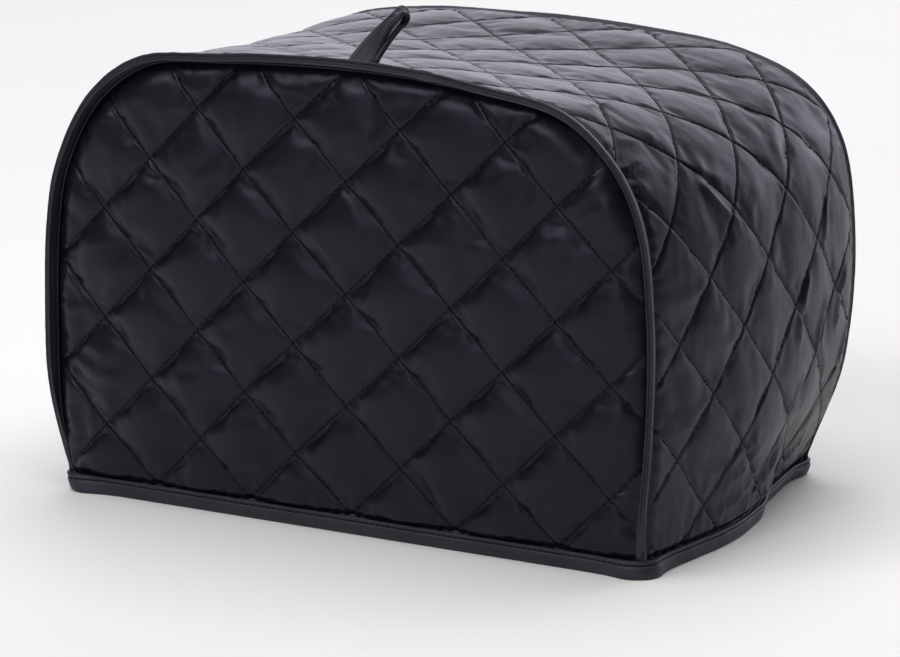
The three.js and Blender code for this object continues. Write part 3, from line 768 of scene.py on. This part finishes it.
def hem_binding():
    """The hem tape, and the line of its stitches."""
    section = smooth_section(HEM_ROWS)
    ring = []
    for out, up in section:
        line, flare = hem_line(max(up, 0))
        slope = np.roll(line, -1, axis=0) - np.roll(line, 1, axis=0)
        slope /= np.linalg.norm(slope, axis=1)[:, None]
        way = lengths_along(line)
        wave = 0.3 * noise(way / 30, 0.5, 80) + 0.16 * noise(way / 5.5, up / 4, 81)
        wave = wave * smoothstep(0, 2.5, up)
        flared = flare * (1 - 0.6 * (max(up, 0) / 9) ** 2) if out > 0 else 0
        reach = out + flared + wave
        across = np.stack([slope[:, 1], -slope[:, 0]], 1) * reach[:, None]
        lift = 0.3 * noise(way / 24, 3.5, 82) * smoothstep(6, 9, up)
        ring.append(np.column_stack([line + across, np.maximum(up, 0) + lift]))
    sections = np.stack(ring, 1)
    stitched = sections[:, HEM_STITCH_ROW * SECTION_STEPS]
    tape = sweep("hem_tape", sections, closed=True, flat=tape_flat(way, section))
    return tape, np.vstack([stitched, stitched[:1]])


# The hanging loop: its tape's width, its place across and behind the front face, its height there,
# and the turn of its lean and the backward bow of its two legs
LOOP = {"width": 12, "x": 4.8, "behind": 4.3, "lift": -1.6, "height": 0.99, "swing": 30, "bow": 5}
BOW_WAY = np.array([-0.57, 1, 0])
# How far out along its lean, up, and the turn of the tape's width
LOOP_ROWS = (
    (0, 0, 0), (1.6, 3, 4), (4.8, 7.4, 14), (8.7, 12.4, 30), (12.6, 17.6, 48), (16.0, 22.0, 58),
    (17.8, 23.5, 62), (19.3, 23.6, 62), (19.8, 22.2, 62), (18.2, 18.8, 62), (14.6, 14.0, 60),
    (11.0, 9.4, 58), (8.2, 5.4, 56), (6.4, 2.2, 54),
)
# Section of the doubled tape: across its width and through it, with an edge seam on each side
LOOP_SECTION = (
    (-6.0, 0.0), (-5.7, 1.05), (-4.8, 1.15), (-4.1, 0.8), (-3.4, 1.0), (0.0, 0.85), (3.4, 1.0), (4.1, 0.8),
    (4.8, 1.15), (5.7, 1.05), (6.0, 0.0), (5.7, -1.05), (4.8, -1.15), (4.1, -0.8), (3.4, -1.0),
    (0.0, -0.85), (-3.4, -1.0), (-4.1, -0.8), (-4.8, -1.15), (-5.7, -1.05),
)


def loop_frame(steps=10):
    """Centres, tape width and tape thickness directions along the loop."""
    rows = curve_through(LOOP_ROWS, steps)
    foot = gusset_place(np.array([STRIP / 2 + LOOP["x"]]), np.array([float(LOOP["behind"])]), np.zeros(1))[0]
    start = np.array([LOOP["x"], LOOP["behind"] - DEPTH / 2, foot[2] + LOOP["lift"]])
    swing = math.radians(LOOP["swing"])
    out, up = rows[:, 0], rows[:, 1] * LOOP["height"]
    centres = start + np.stack([out * math.cos(swing), out * math.sin(swing), up], 1)
    way = lengths_along(centres)
    bowed = np.sin(2 * np.pi * np.minimum(way, way[-1] - way) / way[-1])
    centres += bowed[:, None] * LOOP["bow"] * BOW_WAY
    along = np.gradient(centres, axis=0)
    along /= np.linalg.norm(along, axis=1)[:, None]
    turn = np.radians(rows[:, 2])
    wide = np.stack([np.cos(turn), -np.sin(turn), 0 * turn], 1)
    thick = np.cross(along, wide)
    thick /= np.linalg.norm(thick, axis=1)[:, None]
    return centres, np.cross(thick, along), thick


def hanging_loop():
    centres, wide, thick = loop_frame()
    section = smooth_section(LOOP_SECTION, 2)
    way = lengths_along(centres)
    cup = 0.35 * noise(way / 9, 0.5, 90)[:, None] * (1 - (section[:, 0][None] / 5.5) ** 2)
    through = section[:, 1][None] + cup
    across = section[:, 0][None, :, None] * wide[:, None]
    points = centres[:, None] + across + through[..., None] * thick[:, None]
    return sweep("hanging_loop_tape", points, closed=False, flat=tape_flat(way, section))


# Stitches: small thread knots set along lines by Geometry Nodes


def stitch_tree():
    tree = bpy.data.node_groups.new("stitches along lines", "GeometryNodeTree")
    interface = tree.interface
    interface.new_socket("Lines", in_out="INPUT", socket_type="NodeSocketGeometry")
    sizes = {"Pitch": 0.003, "Stitch length": 0.0024, "Thread": 0.0005}
    for name, value in sizes.items():
        interface.new_socket(name, in_out="INPUT", socket_type="NodeSocketFloat").default_value = value
    interface.new_socket("Thread material", in_out="INPUT", socket_type="NodeSocketMaterial")
    interface.new_socket("Stitches", in_out="OUTPUT", socket_type="NodeSocketGeometry")
    nodes = tree.nodes
    given, result = nodes.new("NodeGroupInput"), nodes.new("NodeGroupOutput")
    curves = nodes.new("GeometryNodeMeshToCurve")
    spaced = nodes.new("GeometryNodeResampleCurve")
    spaced.mode = "LENGTH"
    along = nodes.new("GeometryNodeInputTangent")
    turn = nodes.new("FunctionNodeAlignRotationToVector")
    turn.axis = "X"
    bead = nodes.new("GeometryNodeMeshUVSphere")
    set_sockets(bead, Segments=6, Rings=4, Radius=0.5)
    size = nodes.new("ShaderNodeCombineXYZ")
    placed = nodes.new("GeometryNodeInstanceOnPoints")
    real = nodes.new("GeometryNodeRealizeInstances")
    finish = nodes.new("GeometryNodeSetMaterial")
    smooth = nodes.new("GeometryNodeSetShadeSmooth")
    for source, given_name, target, taken_as in (
        (given, "Lines", curves, "Mesh"),
        (curves, "Curve", spaced, "Curve"),
        (given, "Pitch", spaced, "Length"),
        (spaced, "Curve", placed, "Points"),
        (bead, "Mesh", placed, "Instance"),
        (along, "Tangent", turn, "Vector"),
        (turn, "Rotation", placed, "Rotation"),
        (given, "Stitch length", size, "X"),
        (given, "Thread", size, "Y"),
        (given, "Thread", size, "Z"),
        (size, "Vector", placed, "Scale"),
        (placed, "Instances", real, "Geometry"),
        (real, "Geometry", smooth, "Geometry"),
        (smooth, "Geometry", finish, "Geometry"),
        (given, "Thread material", finish, "Material"),
        (finish, "Geometry", result, "Stitches"),
    ):
        tree.links.new(source.outputs[given_name], target.inputs[taken_as])
    return tree


def sew(name, lines, material, tree, pitch=3.0, length=2.4, thread=0.5):
    """Stitches along 3-D lines, as one plain mesh."""
    points, edges = [], []
    for line in lines:
        first = len(points)
        points.extend(line.tolist())
        edges.extend((first + k, first + k + 1) for k in range(len(line) - 1))
    mesh = bpy.data.meshes.new(name + " lines")
    mesh.from_pydata(((np.array(points) + (SHIFT_X, 0, 0)) * MM).tolist(), edges, [])
    guide = bpy.data.objects.new(name + " lines", mesh)
    bpy.context.collection.objects.link(guide)
    modifier = guide.modifiers.new("stitches", "NODES")
    modifier.node_group = tree
    given = {item.name: item.identifier for item in tree.interface.items_tree if item.in_out == "INPUT"}
    modifier[given["Pitch"]] = pitch * MM
    modifier[given["Stitch length"]] = length * MM
    modifier[given["Thread"]] = thread * MM
    modifier[given["Thread material"]] = material
    stitched = guide.evaluated_get(bpy.context.evaluated_depsgraph_get())
    piece = bpy.data.objects.new(name, bpy.data.meshes.new_from_object(stitched))
    bpy.context.collection.objects.link(piece)
    bpy.data.objects.remove(guide)
    return piece


THREAD_LIES = -0.42  # height of the stitches' middle from the pressed cloth, in its groove


def quilting_lines(quilt, outline, place, sunk_edge, margin=2.5):
    """The lines of stitching inside a cut edge, at the bottom of their grooves."""
    span_a, span_b = quilt.span(outline)
    lines = []
    for (first, last), other_span, swap in ((span_a, span_b, False), (span_b, span_a, True)):
        run = np.arange(*other_span, 1.5 / quilt.side)
        for line in range(math.ceil(first), math.floor(last) + 1):
            a, b = (run, np.full(len(run), line)) if swap else (np.full(len(run), line), run)
            flat = np.stack(quilt.flat(a, b), 1)
            inside = np.ones(len(flat), bool)
            for here, out in hull_sides(outline):
                inside &= (flat - here) @ out / np.linalg.norm(out) < -margin
            flat = flat[inside]
            if len(flat) > 2:
                distance, _ = distance_inside(outline, flat)
                height = THREAD_LIES - sunk_edge(*flat.T)
                lines.append(place(*flat.T, height, distance))
    return lines


# Finishes


def new_material(name):
    """A material with its shader, and the place on the object for its patterns."""
    material = bpy.data.materials.new(name)
    material.use_nodes = True
    nodes = material.node_tree.nodes
    nodes.clear()
    output = nodes.new("ShaderNodeOutputMaterial")
    shader = nodes.new("ShaderNodeBsdfPrincipled")
    material.node_tree.links.new(shader.outputs["BSDF"], output.inputs["Surface"])
    place = nodes.new("ShaderNodeTexCoord").outputs["Object"]
    return material, nodes, material.node_tree.links, shader, place


def flat_place(nodes):
    """The place on the flat cloth or tape, for its weave and creases."""
    uv = nodes.new("ShaderNodeUVMap")
    uv.uv_map = "flat"
    return uv.outputs["UV"]


def set_sockets(node, **values):
    for name, value in values.items():
        node.inputs[name.replace("_", " ")].default_value = value


def noise_node(nodes, links, vector, scale, detail=3.0, roughness=0.5):
    node = nodes.new("ShaderNodeTexNoise")
    set_sockets(node, Scale=scale, Detail=detail, Roughness=roughness)
    links.new(vector, node.inputs["Vector"])
    return node.outputs["Fac"]


def weave_height(nodes, links, uv, pitch):
    """Height of a plain weave: two crossed sets of threads, pitch metres apart."""
    split = nodes.new("ShaderNodeSeparateXYZ")
    links.new(uv, split.inputs["Vector"])
    waves = []
    for axis in ("X", "Y"):
        scaled = nodes.new("ShaderNodeMath")
        scaled.operation = "MULTIPLY"
        scaled.inputs[1].default_value = 2 * math.pi / pitch
        links.new(split.outputs[axis], scaled.inputs[0])
        wave = nodes.new("ShaderNodeMath")
        wave.operation = "SINE"
        links.new(scaled.outputs[0], wave.inputs[0])
        waves.append(wave.outputs[0])
    product = nodes.new("ShaderNodeMath")
    product.operation = "MULTIPLY"
    links.new(waves[0], product.inputs[0])
    links.new(waves[1], product.inputs[1])
    return product.outputs[0]


def ramp(nodes, links, value, stops):
    node = nodes.new("ShaderNodeValToRGB")
    for element, (position, colour) in zip(node.color_ramp.elements, stops):
        element.position, element.color = position, (*colour, 1)
    links.new(value, node.inputs["Fac"])
    return node.outputs["Color"]


def bump(nodes, links, height, strength, distance, below=None):
    node = nodes.new("ShaderNodeBump")
    set_sockets(node, Strength=strength, Distance=distance)
    links.new(height, node.inputs["Height"])
    if below is not None:
        links.new(below, node.inputs["Normal"])
    return node.outputs["Normal"]


def satin_cloth():
    """Near-black satin-faced polyester with a cool violet cast, and painted shade in and beside the stitched
    grooves.
    """
    material, nodes, links, shader, place = new_material("quilted satin cloth")
    flat = flat_place(nodes)
    tone = noise_node(nodes, links, place, 22, 4)
    colour = ramp(nodes, links, tone, ((0.3, (0.0040, 0.0037, 0.0064)), (0.75, (0.0070, 0.0065, 0.0105))))
    # Painted shade: the base colour fades to near black where the stitching's shade attribute is strong
    groove_shade = nodes.new("ShaderNodeAttribute")
    groove_shade.attribute_name = "groove_shade"
    painted_shade_mix = nodes.new("ShaderNodeMix")
    painted_shade_mix.data_type = "RGBA"
    painted_shade_mix.inputs["B"].default_value = (0.0008, 0.0008, 0.0012, 1)
    links.new(groove_shade.outputs["Fac"], painted_shade_mix.inputs["Factor"])
    links.new(colour, painted_shade_mix.inputs["A"])
    links.new(painted_shade_mix.outputs["Result"], shader.inputs["Base Color"])
    uneven = noise_node(nodes, links, place, 60, 3)
    rough = nodes.new("ShaderNodeMapRange")
    set_sockets(rough, To_Min=0.31, To_Max=0.42)
    links.new(uneven, rough.inputs["Value"])
    links.new(rough.outputs["Result"], shader.inputs["Roughness"])
    set_sockets(shader, Sheen_Weight=0.03, Sheen_Roughness=0.3, Sheen_Tint=(0.5, 0.45, 1, 1), IOR=1.345)
    set_sockets(shader, Specular_Tint=(0.79, 0.75, 1, 1))
    creases = noise_node(nodes, links, flat, 130, 5, 0.55)
    normal = bump(nodes, links, creases, 0.2, 0.0012)
    normal = bump(nodes, links, weave_height(nodes, links, flat, 0.0006), 0.25, 0.00005, normal)
    links.new(normal, shader.inputs["Normal"])
    return material


def tape_cloth():
    """Near-black folded tape in a close plain weave, a little duller than the satin."""
    material, nodes, links, shader, place = new_material("binding tape")
    flat = flat_place(nodes)
    tone = noise_node(nodes, links, place, 45, 4)
    colour = ramp(nodes, links, tone, ((0.3, (0.0150, 0.0142, 0.0190)), (0.75, (0.0230, 0.0216, 0.0280))))
    links.new(colour, shader.inputs["Base Color"])
    set_sockets(shader, Roughness=0.5, IOR=1.43)
    set_sockets(shader, Sheen_Weight=0.06, Sheen_Roughness=0.4, Sheen_Tint=(0.74, 0.7, 1, 1))
    set_sockets(shader, Specular_Tint=(0.86, 0.82, 1, 1))
    creases = noise_node(nodes, links, flat, 320, 4)
    normal = bump(nodes, links, creases, 0.3, 0.0006)
    normal = bump(nodes, links, weave_height(nodes, links, flat, 0.0007), 0.35, 0.00008, normal)
    links.new(normal, shader.inputs["Normal"])
    return material


def sewing_thread():
    """Black twisted polyester thread."""
    material, nodes, links, shader, place = new_material("sewing thread")
    twist = noise_node(nodes, links, place, 900, 2)
    colour = ramp(nodes, links, twist, ((0.3, (0.0018, 0.0017, 0.0024)), (0.7, (0.0045, 0.0042, 0.0058))))
    links.new(colour, shader.inputs["Base Color"])
    set_sockets(shader, Roughness=0.7, IOR=1.15)
    return material


def floor_paint():
    material, nodes, links, shader, place = new_material("pale floor")
    tone = noise_node(nodes, links, place, 3, 2)
    colour = ramp(nodes, links, tone, ((0.2, (0.80, 0.80, 0.79)), (0.8, (0.84, 0.84, 0.825))))
    links.new(colour, shader.inputs["Base Color"])
    set_sockets(shader, Roughness=0.8)
    return material


# Camera, floor and light


def direction(azimuth, elevation):
    """Unit vector from the object towards a viewer; azimuth 0 is in front, 90 at the right."""
    az, el = math.radians(azimuth), math.radians(elevation)
    return Vector((math.sin(az) * math.cos(el), -math.cos(az) * math.cos(el), math.sin(el)))


def make_camera():
    data = bpy.data.cameras.new("camera")
    data.lens, data.sensor_width, data.sensor_fit = CAMERA["lens"], 36, "HORIZONTAL"
    data.clip_end = 20
    camera = bpy.data.objects.new("camera", data)
    back = direction(CAMERA["azimuth"], CAMERA["elevation"])
    camera.location = Vector(CAMERA["target"]) * MM + back * CAMERA["distance"] * MM
    camera.rotation_euler = back.to_track_quat("Z", "Y").to_euler()
    bpy.context.collection.objects.link(camera)
    bpy.context.scene.camera = camera


def make_floor(material):
    mesh = bpy.data.meshes.new("floor")
    half = 6.0
    corners = [(-half, -half, 0), (half, -half, 0), (half, half, 0), (-half, half, 0)]
    mesh.from_pydata(corners, [], [(0, 1, 2, 3)])
    floor = bpy.data.objects.new("floor", mesh)
    mesh.materials.append(material)
    bpy.context.collection.objects.link(floor)


# Soft lights: the azimuth and elevation of each, seen from the object, its distance, its width and
# height in metres, its power and its colour. The white wall behind is what the top of the cover
# mirrors. The room in front stays dim, so that the puffs of the front are light below, from the
# floor, and dark above. The high strip lights the arcs under the top seam.
LIGHTS = (
    ("white wall", 186, 16, 3.2, (5.6, 1.8), 68, (0.93, 0.89, 1.0)),
    ("overhead light", 180, 84, 2.6, (2.8, 2.8), 69, (1, 1, 1)),
    ("front window", 12, 18, 2.6, (1.5, 1.3), 9, (1, 1, 1)),
    ("high strip", -22, 43, 2.4, (1.8, 0.5), 22, (1, 1, 1)),
)


def make_lights():
    for name, azimuth, elevation, distance, size, power, colour in LIGHTS:
        data = bpy.data.lights.new(name, "AREA")
        data.shape, data.energy, data.color = "RECTANGLE", power, colour
        data.size, data.size_y = size
        light = bpy.data.objects.new(name, data)
        towards = direction(azimuth, elevation)
        light.location = Vector((0, 0, 0.1)) + towards * distance
        light.rotation_euler = towards.to_track_quat("Z", "Y").to_euler()
        bpy.context.collection.objects.link(light)
    world = bpy.data.worlds.new("studio")
    world.use_nodes = True
    set_sockets(world.node_tree.nodes["Background"], Color=(0.96, 0.97, 1.0, 1), Strength=0.08)
    bpy.context.scene.world = world
    bpy.context.scene.view_settings.view_transform = "Standard"


# The build

make_camera()
make_lights()
make_floor(floor_paint())

SATIN, TAPE, THREAD = satin_cloth(), tape_cloth(), sewing_thread()
STITCHES = stitch_tree()


def dress(piece, material, slot, *nodes):
    if not piece.data.materials:
        piece.data.materials.append(material)
    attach(piece, "root")
    if nodes:
        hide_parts(*nodes)
    return piece


END_CLOTH = {"fullness": 2.9, "slack": 0.019, "pressure": 1.2}
front_quilt = Quilt((24.5, 24), (-117.6, 176.5), 10, **END_CLOTH, shift=0.17, tuck=0.85, drift=-2.6)
back_quilt = Quilt((24.5, 24), (-122.5, 168.5), 25, **END_CLOTH, shift=0.12, tuck=0.7)
front_cloth, front_outline = end_panel("front_panel_cloth", front_seam, front_quilt, -1, 70, FRONT_CREASES)
back_cloth, back_outline = end_panel("back_panel_cloth", back_seam, back_quilt, 1, seed=74)
gusset_cloth, gusset_outline, gusset_quilt = gusset()

# Each fin's lowest share of its height, the run over which it gets there and its greatest spread,
# at its left and right feet
FRONT_FEET = ((0.2, 52, 1.1), (0.36, 20, 1.6))
BACK_FEET = ((0.3, 40, 1.1), (0.25, 50, 1.1))
front_tape = seam_binding("front_seam_tape", front_seam, -1, 50, FRONT_FEET, slim=(0.8, 1.04), join=TAPE_JOIN)
back_tape = seam_binding("back_seam_tape", back_seam, 1, 56, BACK_FEET, slim=(0.66, 0.66))
hem_tape, hem_seam = hem_binding()
loop_tape = hanging_loop()

front_lines = quilting_lines(front_quilt, front_outline, panel_place(-1), panel_edge)
back_lines = quilting_lines(back_quilt, back_outline, panel_place(1), panel_edge)
gusset_lines = quilting_lines(gusset_quilt, gusset_outline, gusset_place, gusset_edge)
front_stitches = sew("front_quilting_stitches", front_lines, THREAD, STITCHES)
back_stitches = sew("back_quilting_stitches", back_lines, THREAD, STITCHES)
gusset_stitches = sew("gusset_quilting_stitches", gusset_lines, THREAD, STITCHES)
hem_stitches = sew("hem_stitches", [hem_seam], THREAD, STITCHES, pitch=2.7, length=2.6, thread=0.6)

dress(front_cloth, SATIN, "quilted_cloth", "front_panel")
dress(back_cloth, SATIN, "quilted_cloth", "back_panel")
dress(gusset_cloth, SATIN, "quilted_cloth", "gusset")
dress(front_tape, TAPE, "binding_tape", "front_binding")
dress(back_tape, TAPE, "binding_tape", "back_binding")
dress(hem_tape, TAPE, "binding_tape", "hem_binding")
dress(loop_tape, TAPE, "binding_tape", "hang_loop")
for stitches in (front_stitches, back_stitches, gusset_stitches, hem_stitches):
    dress(stitches, THREAD, "binding_tape")


def flat_area(outline):
    x, y = outline.T
    return abs(np.dot(x, np.roll(y, -1)) - np.dot(y, np.roll(x, -1))) / 2 * MM**2


for cloth, outline, extras in (
    (front_cloth, front_outline, [front_tape, front_stitches, hem_tape, hem_stitches]),
    (back_cloth, back_outline, [back_tape, back_stitches]),
    (gusset_cloth, gusset_outline, [gusset_stitches]),
):
    width, length = np.ptp(outline, axis=0) * MM
    flat_area(outline)
    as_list(extras)
lengths_along(loop_frame()[0])[-1] * MM
